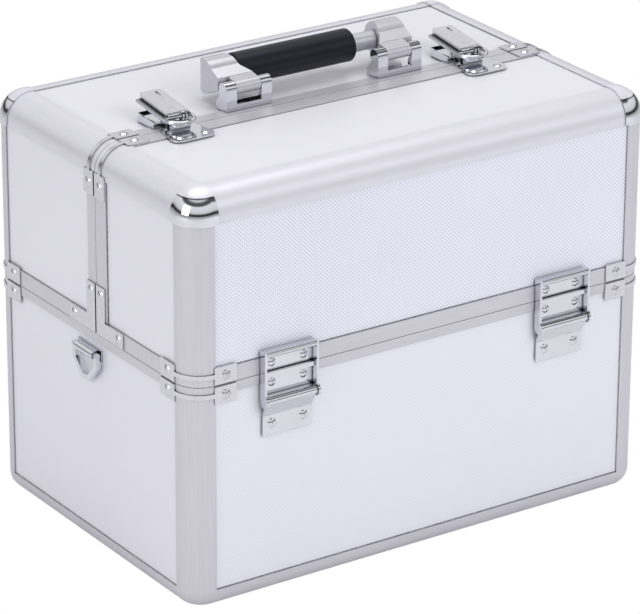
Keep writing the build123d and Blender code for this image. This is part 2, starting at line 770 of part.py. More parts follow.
with BuildPart() as latch_bases:
    for x in (latch_left, latch_right):
        # channel with raised rim, rounded at the back
        with BuildSketch(Plane((x, 0, z_top))) as outline:
            with Locations((0, (box_front + box_back) / 2)):
                Rectangle(box_w, box_back - box_front)
            fillet(outline.vertices().group_by(Axis.Y)[-1], box_r)
        extrude(amount=box_h)
        block(x - box_w / 2 + box_t, x + box_w / 2 - box_t, box_front, box_back - box_t,
              z_top + box_floor, z_top + box_h, mode=Mode.SUBTRACT)
        # shoe in front, and two cheeks with the lever pin
        shoe = cheek_in + cheek_t
        block(x - shoe, x + shoe, lid_edge(1), box_front, z_top, z_top + box_floor)
        for end in (-1, 1):
            a = x + end * cheek_in
            b = a + end * cheek_t
            block(a, b, lid_edge(1), lever_pin_y + ear_r, z_top + box_floor, z_top + lever_pin_h)
            rod((min(a, b), lever_pin_y + ear_r - cheek_r, z_top + lever_pin_h), (1, 0, 0), cheek_r,
                cheek_t)
        rod((x - lever_w / 2, lever_pin_y, z_top + lever_pin_h), (1, 0, 0), lever_pin_r, lever_w)
latch_bases.part.label = "latch_bases"
export_step(latch_bases.part, "parts/latch_bases.step")


def lever_under(y):
    # height of the lever's underside over the lid
    return lever_h0 + lever_slope * (y + lever_front)


def lever(x):
    # rounded plate with two side flanges, an ear at the pin and one at the wire
    rise = lever_slope * (lever_back + lever_front)
    with BuildSketch(Plane((x - lever_w / 2, 0, z_top), x_dir=(0, 1, 0), z_dir=(1, 0, 0))) as outline:
        with BuildLine():
            Polyline((-lever_front, lever_h0), (-lever_front, lever_h0 + lever_t),
                     (lever_back, lever_h0 + lever_t + rise),
                     (lever_back, lever_h0 + rise), (-lever_front, lever_h0))
        make_face()
    extrude(outline.sketch, amount=lever_w)
    start = lever_gap - lever_front
    stop = lever_back - lever_corner
    for end in (-1, 1):
        a = x + end * lever_w / 2
        b = a - end * flange_t
        with BuildSketch(Plane((min(a, b), 0, z_top), x_dir=(0, 1, 0), z_dir=(1, 0, 0))) as outline:
            with BuildLine():
                Polyline((start, lever_under(start) - flange_h), (start, lever_under(start) + 1),
                         (stop, lever_under(stop) + 1), (stop, lever_under(stop) - flange_h),
                         (start, lever_under(start) - flange_h))
            make_face()
            with Locations((lever_pin_y, lever_pin_h), (bail_back_y - bail_r, bail_back_h)):
                Circle(ear_r)
            with Locations((lever_pin_y, lever_pin_h)):
                Circle(lever_pin_r + pin_fit, mode=Mode.SUBTRACT)
            with Locations((bail_back_y, bail_back_h)):
                Circle(bail_r + pin_fit, mode=Mode.SUBTRACT)
        extrude(outline.sketch, amount=flange_t)
    # rounded back corners
    with BuildSketch(Plane((x, lever_back - lever_corner, z_top))) as outline:
        Rectangle(lever_w + 2, lever_corner + 2, align=(Align.CENTER, Align.MIN))
        Rectangle(lever_w - 2 * lever_corner, 3 * lever_corner, mode=Mode.SUBTRACT)
        with Locations((lever_corner - lever_w / 2, 0), (lever_w / 2 - lever_corner, 0)):
            Circle(lever_corner, mode=Mode.SUBTRACT)
    extrude(outline.sketch, amount=lever_top, mode=Mode.SUBTRACT)
    # key slot
    block(x + slot_x - slot_w / 2, x + slot_x + slot_w / 2, slot_y - slot_len / 2,
          slot_y + slot_len / 2, z_top + lever_under(slot_y) - 1, z_top + lever_top,
          mode=Mode.SUBTRACT)


with BuildPart() as lever_left:
    lever(latch_left)
lever_left.part.label = "lever_left"
export_step(lever_left.part, "parts/lever_left.step")

with BuildPart() as lever_right:
    lever(latch_right)
lever_right.part.label = "lever_right"
export_step(lever_right.part, "parts/lever_right.step")


def bail(x):
    # wire loop: two arms, a half round front, and inturned ends in the lever
    back_h = z_top + bail_back_h
    front_h = z_top + bail_front_h
    for end in (-1, 1):
        side_x = x + end * bail_x
        run = Vector(0, bail_front_y - bail_back_y, front_h - back_h)
        rod((side_x, bail_back_y, back_h), run, bail_r, run.length)
        rod((side_x, bail_back_y, back_h), (-end, 0, 0), bail_r, bail_x - bail_in)
        with Locations((side_x, bail_back_y, back_h), (side_x, bail_front_y, front_h)):
            Sphere(bail_r)
    with BuildSketch(Plane((x + bail_x, bail_front_y, front_h), x_dir=(1, 0, 0),
                           z_dir=(0, 1, 0))) as outline:
        Circle(bail_r)
    revolve(outline.sketch, axis=Axis((x, bail_front_y, front_h), (0, 0, -1)), revolution_arc=180)


with BuildPart() as bail_left:
    bail(latch_left)
bail_left.part.label = "bail_left"
export_step(bail_left.part, "parts/bail_left.step")

with BuildPart() as bail_right:
    bail(latch_right)
bail_right.part.label = "bail_right"
export_step(bail_right.part, "parts/bail_right.step")

# ================================================================ handle
bracket_front = seam_y + bracket_y
bracket_back = bracket_front + bracket_d
knuckle_half = (window_w - knuckle_gap) / 2

with BuildPart() as handle_brackets:
    for sx in (-1, 1):
        x = sx * bracket_x
        low = x - bracket_w / 2
        high = x + bracket_w / 2
        post = (bracket_w - window_w) / 2
        # floor, front bar, side walls, and two posts rolled round the pin
        block(low, high, bracket_front, bracket_back, z_top, z_top + bracket_t)
        block(low, high, bracket_front, bracket_front + bracket_t, z_top, z_top + bracket_bar)
        for end in (-1, 1):
            a = x + end * (bracket_w / 2 - bracket_t)
            b = x + end * bracket_w / 2
            c = x + end * window_w / 2
            with BuildSketch(Plane((min(a, b), 0, z_top), x_dir=(0, 1, 0), z_dir=(1, 0, 0))):
                with BuildLine():
                    Polyline((bracket_front, 0), (knuckle_y - knuckle_r, knuckle_h),
                             (knuckle_y, knuckle_h), (bracket_back, bracket_bar),
                             (bracket_back, 0), (bracket_front, 0))
                make_face()
            extrude(amount=bracket_t)
            block(b, c, bracket_front, bracket_front + bracket_t, z_top, z_top + knuckle_h)
            rod((min(b, c), knuckle_y, z_top + knuckle_h), (1, 0, 0), knuckle_r, post)
        rod((low, knuckle_y, z_top + knuckle_h), (1, 0, 0), handle_pin_r, bracket_w)
handle_brackets.part.label = "handle_brackets"
export_step(handle_brackets.part, "parts/handle_brackets.step")

with BuildPart() as handle_arms:
    # side shape: knuckle, rising back and round end behind the grip
    x0 = bracket_x - knuckle_half
    x1 = bracket_x + bracket_w / 2 - knuckle_gap
    with BuildSketch(Plane((x0, 0, z_top), x_dir=(0, 1, 0), z_dir=(1, 0, 0))):
        with Locations((grip_y, grip_h)):
            Circle(arm_end_r)
        with BuildLine():
            Polyline((arm_y0, arm_low), (arm_y0, arm_high), (grip_y, grip_h + arm_end_r),
                     (grip_y, grip_h - arm_end_r), (arm_y0, arm_low))
        make_face()
    extrude(amount=x1 - x0)
    # seen from above: slanted inner flank, rounded outer back corner
    with BuildSketch(Plane((0, 0, z_top))) as outline:
        with BuildLine():
            Polyline((x0, arm_y0), (x1, arm_y0), (x1, grip_y + arm_end_r),
                     (flank_x, grip_y + arm_end_r), (flank_x, grip_y),
                     (flank_x - flank_in, grip_y - grip_r), (x0, arm_y0))
        make_face()
        fillet(outline.vertices().group_by(Axis.Y)[-1].sort_by(Axis.X)[-1], arm_round)
    extrude(amount=grip_h + 2 * arm_end_r, mode=Mode.INTERSECT)
    # knuckle round the pin, joined to the arm by a web
    rod((x0, knuckle_y, z_top + knuckle_h), (1, 0, 0), knuckle_r, 2 * knuckle_half)
    with BuildSketch(Plane((x0, 0, z_top), x_dir=(0, 1, 0), z_dir=(1, 0, 0))):
        with BuildLine():
            Polyline((knuckle_y, knuckle_h), (knuckle_y, knuckle_h + knuckle_r),
                     (arm_y0 + 1, arm_high), (arm_y0 + 1, arm_low), (knuckle_y, knuckle_h))
        make_face()
    extrude(amount=2 * knuckle_half)
    rod((x0 - 1, knuckle_y, z_top + knuckle_h), (1, 0, 0), handle_pin_r + pin_fit,
        bracket_w, mode=Mode.SUBTRACT)
    mirror(about=Plane.YZ)
    # neck between the arms and the grip ends
    for end in (-1, 1):
        start = grip_shift + end * grip_len / 2
        stop = end * (flank_x + 1)
        rod((start, grip_y, z_top + grip_h), (end, 0, 0), neck_r, abs(stop - start))
handle_arms.part.label = "handle_arms"
export_step(handle_arms.part, "parts/handle_arms.step")

with BuildPart() as handle_grip:
    rod((grip_shift - grip_len / 2, grip_y, z_top + grip_h), (1, 0, 0), grip_r, grip_len)
    fillet(handle_grip.edges().filter_by(GeomType.CIRCLE), grip_round)
handle_grip.part.label = "handle_grip"
export_step(handle_grip.part, "parts/handle_grip.step")

# ================================================================ carry rings
ring_y = ring_w / 2

with BuildPart() as ring_brackets:
    bar_z = z_split - ring_z
    bar_x = half_w + ring_out
    sleeve = ring_plate_w / 2 - ring_sleeve_in
    block(half_w - lip_t, half_w + ring_plate_t - lip_t, -ring_plate_w / 2, ring_plate_w / 2,
          bar_z + ring_plate_up - ring_plate_h, bar_z + ring_plate_up)
    rod((bar_x, -sleeve, bar_z), (0, 1, 0), ring_sleeve_r, 2 * sleeve)
    block(half_w, bar_x, -sleeve, sleeve, bar_z, bar_z + ring_sleeve_r)
    rod((bar_x, -ring_plate_w, bar_z), (0, 1, 0), ring_r + ring_fit, 2 * ring_plate_w,
        mode=Mode.SUBTRACT)
    mirror(about=Plane.YZ)
ring_brackets.part.label = "ring_brackets"
export_step(ring_brackets.part, "parts/ring_brackets.step")


def carry_ring(sx):
    # flat shield shaped loop hanging from a round bar
    x = sx * (half_w + ring_out)
    rod((x, -ring_y, bar_z), (0, 1, 0), ring_r, ring_w)
    with BuildSketch(Plane((x - sx * ring_t / 2, 0, bar_z), x_dir=(0, 1, 0), z_dir=(1, 0, 0))) as outline:
        with BuildLine():
            Polyline((-ring_y, ring_r), (-ring_y, -ring_side), (-ring_foot, -ring_drop),
                     (ring_foot, -ring_drop), (ring_y, -ring_side), (ring_y, ring_r),
                     (-ring_y, ring_r))
        make_face()
        inner = ring_y - ring_bar
        with BuildLine():
            Polyline((-inner, ring_r), (-inner, -ring_side + 1), (-ring_foot + 2, ring_bar - ring_drop),
                     (ring_foot - 2, ring_bar - ring_drop), (inner, -ring_side + 1),
                     (inner, ring_r), (-inner, ring_r))
        make_face(mode=Mode.SUBTRACT)
    extrude(outline.sketch, amount=sx * ring_t)


with BuildPart() as ring_left:
    carry_ring(-1)
ring_left.part.label = "ring_left"
export_step(ring_left.part, "parts/ring_left.step")

with BuildPart() as ring_right:
    carry_ring(1)
ring_right.part.label = "ring_right"
export_step(ring_right.part, "parts/ring_right.step")


# ================================================================ trays and arms
def arm_point(foot, reach, side):
    # y, z of a point along an arm at rest
    s = foot + reach * math.sin(lean)
    return side * (half_d - s), arm_z + reach * math.cos(lean)


def tray(side, level):
    z0 = z_split + tray_z + level * tray_pitch
    y0 = half_d - tray_s
    y1 = y0 - tray_w
    half = tray_len / 2
    low = min(side * y0, side * y1)
    high = max(side * y0, side * y1)
    block(-half, half, low, high, z0, z0 + tray_h)
    if level == 0:
        splits = (-half + tray_t, -half / 3, half / 3, half - tray_t)
    else:
        mid = (half - tray_t / 2) / 2
        splits = (-half + tray_t, -mid, 0, mid, half - tray_t)
    for a, b in zip(splits[:-1], splits[1:]):
        left = a if a == splits[0] else a + tray_t / 2
        right = b if b == splits[-1] else b - tray_t / 2
        block(left, right, low + tray_t, high - tray_t, z0 + tray_t, z0 + tray_h + 1,
              mode=Mode.SUBTRACT)
    reach = arm_r1 if level == 0 else arm_r2
    for foot in arm_feet:
        y, z = arm_point(foot, reach, side)
        for sx in (-1, 1):
            rod((sx * half, y, z), (sx, 0, 0), 4.2, arm_x - slip - half)
            rod((sx * (arm_x - slip), y, z), (sx, 0, 0), stud_r, arm_t + 2 * slip)
            rod((sx * (arm_x + arm_t + slip), y, z), (sx, 0, 0), head_r, head_t)


def arm(side, foot, with_link):
    # flat bar with three eyes, one at each end of the case
    for sx in (-1, 1):
        y0, z0 = arm_point(foot, 0, side)
        y1, z1 = arm_point(foot, arm_r2, side)
        centre = (sx * (arm_x + arm_t / 2), (y0 + y1) / 2, (z0 + z1) / 2)
        along = Vector(0, y1 - y0, z1 - z0)
        with BuildSketch(Plane((sx * arm_x, (y0 + y1) / 2, (z0 + z1) / 2),
                               x_dir=along, z_dir=(sx, 0, 0))) as outline:
            SlotCenterToCenter(arm_r2, arm_w)
            with Locations((-arm_r2 / 2, 0), (-arm_r2 / 2 + arm_r1, 0), (arm_r2 / 2, 0)):
                Circle(stud_r + stud_fit, mode=Mode.SUBTRACT)
        extrude(outline.sketch, amount=arm_t)
        if with_link:
            y, z = arm_point(foot, link_at, side)
            rod((sx * (arm_x + arm_t), y, z), (sx, 0, 0), link_stud_r,
                link_x + link_t + slip - arm_x - arm_t)
            rod((sx * (link_x + link_t + slip), y, z), (sx, 0, 0), link_eye + 1.2, 0.7)


def link(side):
    turn = math.radians(link_turn)
    y0 = half_d - link_s
    z0 = z_split + link_up
    y1 = y0 - link_len * math.cos(turn)
    z1 = z0 + link_len * math.sin(turn)
    for sx in (-1, 1):
        along = Vector(0, side * (y1 - y0), z1 - z0)
        with BuildSketch(Plane((sx * link_x, side * (y0 + y1) / 2, (z0 + z1) / 2),
                               x_dir=along, z_dir=(sx, 0, 0))) as outline:
            Rectangle(link_len, link_w)
            with Locations((-link_len / 2, 0)):
                Circle(link_w / 2)
            with Locations((link_len / 2, 0)):
                Circle(link_eye + 3)
                Circle(link_eye, mode=Mode.SUBTRACT)
            with Locations((-link_len / 2, 0)):
                Circle(link_stud_r + stud_fit, mode=Mode.SUBTRACT)
        extrude(outline.sketch, amount=link_t)


with BuildPart() as front_tray_lower:
    tray(-1, 0)
front_tray_lower.part.label = "front_tray_lower"
export_step(front_tray_lower.part, "parts/front_tray_lower.step")

with BuildPart() as front_tray_upper:
    tray(-1, 1)
front_tray_upper.part.label = "front_tray_upper"
export_step(front_tray_upper.part, "parts/front_tray_upper.step")

with BuildPart() as back_tray_lower:
    tray(1, 0)
back_tray_lower.part.label = "back_tray_lower"
export_step(back_tray_lower.part, "parts/back_tray_lower.step")

with BuildPart() as back_tray_upper:
    tray(1, 1)
back_tray_upper.part.label = "back_tray_upper"
export_step(back_tray_upper.part, "parts/back_tray_upper.step")

with BuildPart() as front_arms_outer:
    arm(-1, arm_feet[0], True)
front_arms_outer.part.label = "front_arms_outer"
export_step(front_arms_outer.part, "parts/front_arms_outer.step")

with BuildPart() as front_arms_inner:
    arm(-1, arm_feet[1], False)
front_arms_inner.part.label = "front_arms_inner"
export_step(front_arms_inner.part, "parts/front_arms_inner.step")

with BuildPart() as back_arms_outer:
    arm(1, arm_feet[0], True)
back_arms_outer.part.label = "back_arms_outer"
export_step(back_arms_outer.part, "parts/back_arms_outer.step")

with BuildPart() as back_arms_inner:
    arm(1, arm_feet[1], False)
back_arms_inner.part.label = "back_arms_inner"
export_step(back_arms_inner.part, "parts/back_arms_inner.step")

with BuildPart() as front_links:
    link(-1)
front_links.part.label = "front_links"
export_step(front_links.part, "parts/front_links.step")

with BuildPart() as back_links:
    link(1)
back_links.part.label = "back_links"
export_step(back_links.part, "parts/back_links.step")
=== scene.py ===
import math

import bpy
from mathutils import Matrix, Vector

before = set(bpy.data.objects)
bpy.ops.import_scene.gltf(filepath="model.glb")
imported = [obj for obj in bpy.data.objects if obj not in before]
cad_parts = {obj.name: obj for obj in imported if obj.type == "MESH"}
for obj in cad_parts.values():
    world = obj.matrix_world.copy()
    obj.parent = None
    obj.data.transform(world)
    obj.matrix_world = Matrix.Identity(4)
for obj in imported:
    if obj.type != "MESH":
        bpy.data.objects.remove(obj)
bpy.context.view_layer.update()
MM = 0.001

# ------------------------------------------------------------------ sizes, in millimetres
HALF_W = 185.0
HALF_D = 125.0
SEAM_Y = -10.0
CORNER_R = 18.0


def linear(r, g, b):
    """Display values 0-255 to linear colour."""
    out = []
    for v in (r, g, b):
        v = v / 255.0
        out.append(v / 12.92 if v <= 0.04045 else ((v + 0.055) / 1.055) ** 2.4)
    return (*out, 1.0)


# ------------------------------------------------------------------ node helpers
class Shader:
    """A material's node tree with short calls."""

    def __init__(self, name):
        self.material = bpy.data.materials.new(name)
        self.material.use_nodes = True
        self.read()

    @classmethod
    def over(cls, material):
        """Short calls for a material that exists."""
        shader = cls.__new__(cls)
        shader.material = material
        shader.read()
        return shader

    def read(self):
        self.tree = self.material.node_tree
        self.bsdf = self.tree.nodes["Principled BSDF"]
        coords = self.tree.nodes.new("ShaderNodeTexCoord")
        self.place = coords.outputs["Object"]
        split = self.tree.nodes.new("ShaderNodeSeparateXYZ")
        self.join(self.place, split.inputs[0])
        self.axes = {"x": split.outputs[0], "y": split.outputs[1], "z": split.outputs[2]}

    def join(self, a, b):
        self.tree.links.new(a, b)

    def math(self, kind, a, b=None, c=None, clamp=False):
        node = self.tree.nodes.new("ShaderNodeMath")
        node.operation = kind
        node.use_clamp = clamp
        for i, v in enumerate((a, b, c)):
            if v is None:
                continue
            if isinstance(v, (int, float)):
                node.inputs[i].default_value = v
            else:
                self.join(v, node.inputs[i])
        return node.outputs[0]

    def mix(self, factor, a, b):
        node = self.tree.nodes.new("ShaderNodeMix")
        node.data_type = "RGBA"
        for socket, v in ((node.inputs[0], factor), (node.inputs[6], a), (node.inputs[7], b)):
            if isinstance(v, (int, float, tuple)):
                socket.default_value = v
            else:
                self.join(v, socket)
        return node.outputs[2]

    def noise(self, scale, detail=3.0, stretch=(1, 1, 1), rough=0.55):
        mapping = self.tree.nodes.new("ShaderNodeMapping")
        mapping.inputs["Scale"].default_value = stretch
        self.join(self.place, mapping.inputs["Vector"])
        node = self.tree.nodes.new("ShaderNodeTexNoise")
        node.inputs["Scale"].default_value = scale
        node.inputs["Detail"].default_value = detail
        node.inputs["Roughness"].default_value = rough
        self.join(mapping.outputs[0], node.inputs["Vector"])
        return node.outputs["Fac"]

    def ramp(self, value, low, high, a=0.0, b=1.0):
        node = self.tree.nodes.new("ShaderNodeMapRange")
        for i, v in enumerate((low, high, a, b)):
            node.inputs[i + 1].default_value = v
        self.join(value, node.inputs[0])
        return node.outputs[0]

    def crevice_shade(self, distance):
        """Mask for painted shade: 1 in the open, falling to 0 in narrow corners and under rivet
        heads.
        """
        node = self.tree.nodes.new("ShaderNodeAmbientOcclusion")
        node.samples = 8
        node.inputs["Distance"].default_value = distance
        return node.outputs["AO"]

    def bump(self, height, distance, strength=1.0, normal=None):
        node = self.tree.nodes.new("ShaderNodeBump")
        node.inputs["Distance"].default_value = distance
        node.inputs["Strength"].default_value = strength
        self.join(height, node.inputs["Height"])
        if normal is not None:
            self.join(normal, node.inputs["Normal"])
        return node.outputs[0]

    def set(self, **values):
        names = {"color": "Base Color", "metallic": "Metallic", "roughness": "Roughness",
                 "normal": "Normal", "specular": "Specular IOR Level"}
        for key, v in values.items():
            socket = self.bsdf.inputs[names[key]]
            if isinstance(v, (int, float, tuple)):
                socket.default_value = v
            else:
                self.join(v, socket)


PITCH = 2.8 * MM        # spacing of the embossed dots
GAP_SHADE_IN = 0.45          # painted gap shadow beside a rail, from its edge
GAP_SHADE_OUT = 1.05


def panel_material(name, u, v, u_span, v_span, gap_shade_levels, through, outer, tint, relief):
    """Board skin: embossed dots on the outer side, painted gap shadow and painted shade at the
    rails, dark lining inside.
    """
    s = Shader(name)
    waves = [s.math("COSINE", s.math("MULTIPLY", s.axes[a], 2 * math.pi / PITCH)) for a in (u, v)]
    dots = s.ramp(s.math("MULTIPLY", *waves), -0.15, 0.75)
    fade = s.ramp(s.noise(7.0, 2.0), 0.3, 0.7, 0.75, 1.0)
    dots = s.math("MULTIPLY", dots, fade)
    # distance to each visible rail edge
    gap_shade = None
    edge = None
    for axis, span, strengths in ((u, u_span, gap_shade_levels[:2]), (v, v_span, gap_shade_levels[2:])):
        low = s.math("SUBTRACT", s.axes[axis], span[0] * MM)
        high = s.math("SUBTRACT", span[1] * MM, s.axes[axis])
        for gap, strength in zip((low, high), strengths):
            gap_shade_mark = s.ramp(gap, GAP_SHADE_IN * MM, GAP_SHADE_OUT * MM, strength, 0.0)
            gap_shade = gap_shade_mark if gap_shade is None else s.math("MAXIMUM", gap_shade, gap_shade_mark)
            edge = gap if edge is None else s.math("MINIMUM", edge, gap)
    # painted shadow in the gaps beside the rails, broken into dashes
    broken = s.ramp(s.noise(700.0, 2.0), 0.3, 0.55, 0.5, 1.0)
    gap_shade = s.math("MULTIPLY", gap_shade, broken)
    # painted shade fading out over 6 mm from the rails; cloud adds a random tone
    shade = s.ramp(edge, 0.0, 6.0 * MM, 0.16, 0.0)
    cloud = s.ramp(s.noise(9.0, 4.0), 0.3, 0.7, -0.03, 0.03)
    light = linear(*[min(c * (1 + 0.03 * relief), 255) for c in tint])
    dim = linear(*[c * (1 - 0.17 * relief) for c in tint])
    grey = linear(*[c * 0.9 for c in tint])
    color = s.mix(dots, light, dim)
    color = s.mix(s.math("ADD", shade, cloud, clamp=True), color, grey)
    color = s.mix(gap_shade, color, linear(62, 61, 68))
    inside = s.ramp(s.axes[through], outer[0] * MM, outer[1] * MM)
    felt = s.noise(2600.0, 3.0)
    cloth = s.mix(felt, linear(34, 34, 37), linear(66, 66, 70))
    s.set(color=s.mix(inside, color, cloth))
    s.set(roughness=s.mix(inside, (0.38, 0.38, 0.38, 1), (0.95, 0.95, 0.95, 1)))
    s.set(metallic=s.math("MULTIPLY", s.math("SUBTRACT", 1.0, inside), 0.2))
    height = s.math("ADD", s.math("MULTIPLY", dots, -relief), s.math("MULTIPLY", felt, inside))
    s.set(normal=s.bump(height, 0.10 * MM, 0.5))
    return s.material


def metal_material(name, tint, metallic, roughness, grain=0.04, scale=900.0, stretch=(1, 1, 1),
                   depth=0.01, dark=0.35, reach=1.6):
    """Plated or anodised metal with a fine uneven finish and painted shade in joints and crevices.
    """
    s = Shader(name)
    fine = s.noise(scale, 4.0, stretch)
    broad = s.noise(14.0, 3.0)
    color = s.mix(s.ramp(fine, 0.3, 0.7, 0.0, 0.5), linear(*tint),
                  linear(*[c * 0.95 for c in tint]))
    color = s.mix(s.ramp(broad, 0.35, 0.65, 0.0, 0.35), color, linear(*[c * 0.97 for c in tint]))
    # painted shade: colour falls to tint * dark in crevices, joints and under rivet heads, within
    # reach mm
    unshaded = s.ramp(s.crevice_shade(reach * MM), 0.25, 0.8)
    s.set(color=s.mix(unshaded, linear(*[c * dark for c in tint]), color))
    rough = s.math("ADD", roughness, s.ramp(fine, 0.3, 0.7, -grain, grain))
    s.set(metallic=metallic, roughness=rough)
    s.set(normal=s.bump(fine, depth * MM, 0.25))
    return s.material


BALL_CENTRE = (167.0, 107.0, 279.0)
BALL_TOP = 14.0         # bright cap starts below this height over the centre


def corner_material(name):
    """Bright ball cap whose upper part blends into the lightened satin of the edge rails, with a
    painted shade band at the join.
    """
    material = metal_material(name, (222, 222, 228), 1.0, 0.08, 0.02, 60.0)
    s = Shader.over(material)
    above = s.math("SUBTRACT", s.axes["z"], BALL_CENTRE[2] * MM)
    satin = s.ramp(above, (BALL_TOP - 0.3) * MM, (BALL_TOP + 0.3) * MM)
    # painted shade: a dark band just below where the satin starts, at the join with the rails
    ring = s.math("MULTIPLY", s.ramp(above, (BALL_TOP - 1.0) * MM, (BALL_TOP - 0.4) * MM),
                  s.math("SUBTRACT", 1.0, satin))
    old = s.bsdf.inputs["Base Color"].links[0].from_socket
    color = s.mix(ring, old, linear(70, 69, 75))
    s.set(color=s.mix(satin, color, linear(*EDGE_RAIL_LIT)))
    old = s.bsdf.inputs["Roughness"].links[0].from_socket
    s.set(roughness=s.math("ADD", old, s.math("MULTIPLY", satin, 0.32)))
    s.set(metallic=s.ramp(satin, 0.0, 1.0, 1.0, 0.35))
    return material


def plastic_material(name, tint, roughness, grain=0.03, scale=1500.0, depth=0.03, specular=0.5):
    """Moulded plastic or rubber with a fine grain."""
    s = Shader(name)
    fine = s.noise(scale, 3.0)
    broad = s.noise(30.0, 3.0)
    color = s.mix(s.ramp(broad, 0.3, 0.7, 0.0, 0.6), linear(*tint),
                  linear(*[c * 0.85 for c in tint]))
    s.set(color=color, roughness=s.math("ADD", roughness, s.ramp(fine, 0.3, 0.7, -grain, grain)))
    s.set(normal=s.bump(fine, depth * MM, 0.4), specular=specular)
    return s.material


FRONT_TINT = (228, 230, 241)
BASE_TINT = (230, 230, 238)
END_TINT = (228, 227, 235)
# painted shade: the panel tint darkened for the top panels
TOP_SHADED_TINT = (225, 224, 231)
RAIL = (209, 207, 214)
# painted light: the edge rails get a lighter copy of the rail colour
EDGE_RAIL_LIT = (222, 221, 229)
post = HALF_W - CORNER_R - 1.2
post_y = HALF_D - CORNER_R - 1.2
base_z = (17.5, 157.3)
lid_z = (175.4, 276.0)
top_x = HALF_W - CORNER_R - 3.0
top_y = HALF_D - CORNER_R - 3.0
front_seam = SEAM_Y - 13.2
back_seam = SEAM_Y + 10.2
front_skin = (-122.5, -122.0)
back_skin = (122.5, 122.0)
top_skin = (294.5, 294.0)

panels = {
    "base_front_panel": ("x", "z", (-post, post), base_z, (0.35, 0.5, 0.85, 0.3), "y", front_skin,
                         BASE_TINT, 0.22),
    "front_lid_front_panel": ("x", "z", (-post, post), lid_z, (0.3, 0.5, 0.85, 0.15), "y",
                              front_skin, FRONT_TINT, 1.0),
    "base_back_panel": ("x", "z", (-post, post), base_z, (0.5, 0.35, 0.85, 0.3), "y", back_skin,
                        BASE_TINT, 0.22),
    "back_lid_back_panel": ("x", "z", (-post, post), lid_z, (0.5, 0.3, 0.85, 0.15), "y",
                            back_skin, FRONT_TINT, 1.0),
    "front_lid_top_panel": ("x", "y", (-top_x, top_x), (-top_y, front_seam),
                            (0.15, 0.4, 0.15, 0.8), "z", top_skin, TOP_SHADED_TINT, 0.06),
    "back_lid_top_panel": ("x", "y", (-top_x, top_x), (back_seam, top_y), (0.7, 0.9, 0.3, 0.9),
                           "z", top_skin, TOP_SHADED_TINT, 0.06),
    "bottom_panel": ("x", "y", (-170.0, 170.0), (-110.0, 110.0), (0.5, 0.5, 0.5, 0.5), "z",
                     (6.5, 7.0), END_TINT, 0.3),
}
for node, spec in panels.items():
    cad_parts[node].data.materials.clear()
    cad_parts[node].data.materials.append(panel_material("mat_" + node, *spec))


def end_panel_material(name, y_span, z_span, gap_shade_levels):
    """Both end panels are one mesh, so the lining is chosen by the distance from the middle."""
    material = panel_material(name, "y", "z", y_span, z_span, gap_shade_levels, "x", (182.5, 182.0), END_TINT,
                              0.16)
    tree = material.node_tree
    # every use of X goes through its absolute value
    split = next(n for n in tree.nodes if n.type == "SEPXYZ")
    for link in [k for k in tree.links if k.from_socket == split.outputs[0]]:
        size = tree.nodes.new("ShaderNodeMath")
        size.operation = "ABSOLUTE"
        target = link.to_socket
        tree.links.new(split.outputs[0], size.inputs[0])
        tree.links.new(size.outputs[0], target)
    return material


ends = {
    "base_end_panels": ((-post_y, post_y), base_z, (0.3, 0.6, 0.7, 0.3)),
    "front_lid_end_panels": ((-post_y, front_seam), lid_z, (0.25, 0.95, 0.6, 0.2)),
    "back_lid_end_panels": ((back_seam, post_y), lid_z, (0.5, 0.6, 0.7, 0.4)),
}
for node, spec in ends.items():
    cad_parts[node].data.materials.clear()
    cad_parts[node].data.materials.append(end_panel_material("mat_" + node, *spec))

rail_x = metal_material("mat_rail_long", RAIL, 0.5, 0.42, 0.04, 700.0, (0.03, 1, 1), 0.004, 0.4)
rail_z = metal_material("mat_rail_upright", RAIL, 0.5, 0.42, 0.04, 700.0, (1, 1, 0.03), 0.004,
                        0.4)
# painted light: rail metal in the lighter edge colour
edge = metal_material("mat_edge_rail_lit", EDGE_RAIL_LIT, 0.35, 0.40, 0.04, 700.0, (0.03, 1, 1), 0.004,
                      0.4)
chrome = metal_material("mat_chrome", (222, 222, 228), 1.0, 0.07, 0.02, 60.0, dark=0.10,
                        reach=3.2)
satin = metal_material("mat_bracket", (216, 215, 221), 0.9, 0.22, 0.04, 300.0, depth=0.003,
                       dark=0.14, reach=2.2)
shell = metal_material("mat_handle_shell", (206, 205, 212), 0.55, 0.32, 0.04, 300.0,
                       depth=0.003, dark=0.12, reach=2.6)
steel = metal_material("mat_arm", (188, 188, 193), 0.9, 0.35, 0.06, 500.0)
corner = corner_material("mat_corner")
grip = plastic_material("mat_grip", (20, 22, 33), 0.36, 0.03, 1800.0, 0.01, specular=0.28)
tray = plastic_material("mat_tray", (44, 44, 48), 0.55, 0.05, 1400.0, 0.05)
foot = plastic_material("mat_foot", (26, 26, 27), 0.8, 0.05, 900.0, 0.05)

rules = (
    ("tray", tray), ("feet", foot), ("handle_grip", grip), ("handle_arms", shell),
    ("arms_", steel),
    ("links", steel), ("posts", rail_z), ("edge_rails", edge), ("rails", rail_x),
    ("bottom_corners", rail_x),
    ("lid_corners", corner), ("handle_brackets", chrome), ("ring_brackets", chrome),
    ("brackets", satin), ("lid_rivets", satin), ("base_rivets", satin), ("lever", satin),
)
done = set(panels) | set(ends)
for node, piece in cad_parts.items():
    if node in done:
        continue
    found = [m for key, m in rules if key in node]
    piece.data.materials.clear()
    piece.data.materials.append(found[0] if found else chrome)

# ------------------------------------------------------------------ floor, light, camera
scene = bpy.context.scene
floor_mesh = bpy.data.meshes.new("floor")
FLOOR_HALF = 4.0
FLOOR_DROP = 0.0005      # floor surface below the feet
floor_mesh.from_pydata([(-FLOOR_HALF, -FLOOR_HALF, 0), (FLOOR_HALF, -FLOOR_HALF, 0),
                        (FLOOR_HALF, FLOOR_HALF, 0), (-FLOOR_HALF, FLOOR_HALF, 0)],
                       [], [(0, 1, 2, 3)])
floor = bpy.data.objects.new("floor", floor_mesh)
scene.collection.objects.link(floor)
floor.location.z = -FLOOR_DROP

